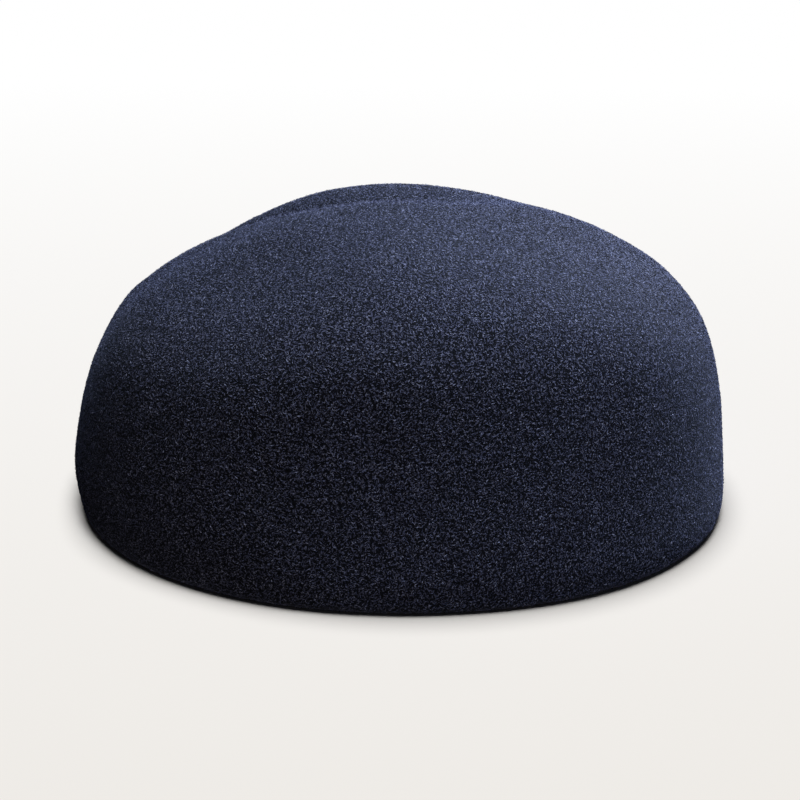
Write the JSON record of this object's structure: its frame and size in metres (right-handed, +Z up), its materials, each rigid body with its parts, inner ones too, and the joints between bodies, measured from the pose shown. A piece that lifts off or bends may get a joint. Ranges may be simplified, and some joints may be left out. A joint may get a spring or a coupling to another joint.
{
  "type": "felt pillbox hat",
  "caption": "Brimless domed pillbox hat of blocked felt, hollow and open below, with a crease across the tip and a turned-in lower edge.",
  "frame": {"origin": "middle of the bounding box's underside, on the surface that the lower edge rests on", "axes": "+Z up, +Y to the back of the head, +X to the right of the front view"},
  "size_m": [0.18, 0.205, 0.089],
  "materials": {
    "navy_felt": "matt brushed wool felt, dark navy"
  },
  "bodies": {
    "root": {"felt_crown": "navy_felt"}
  },
  "joints": []
}
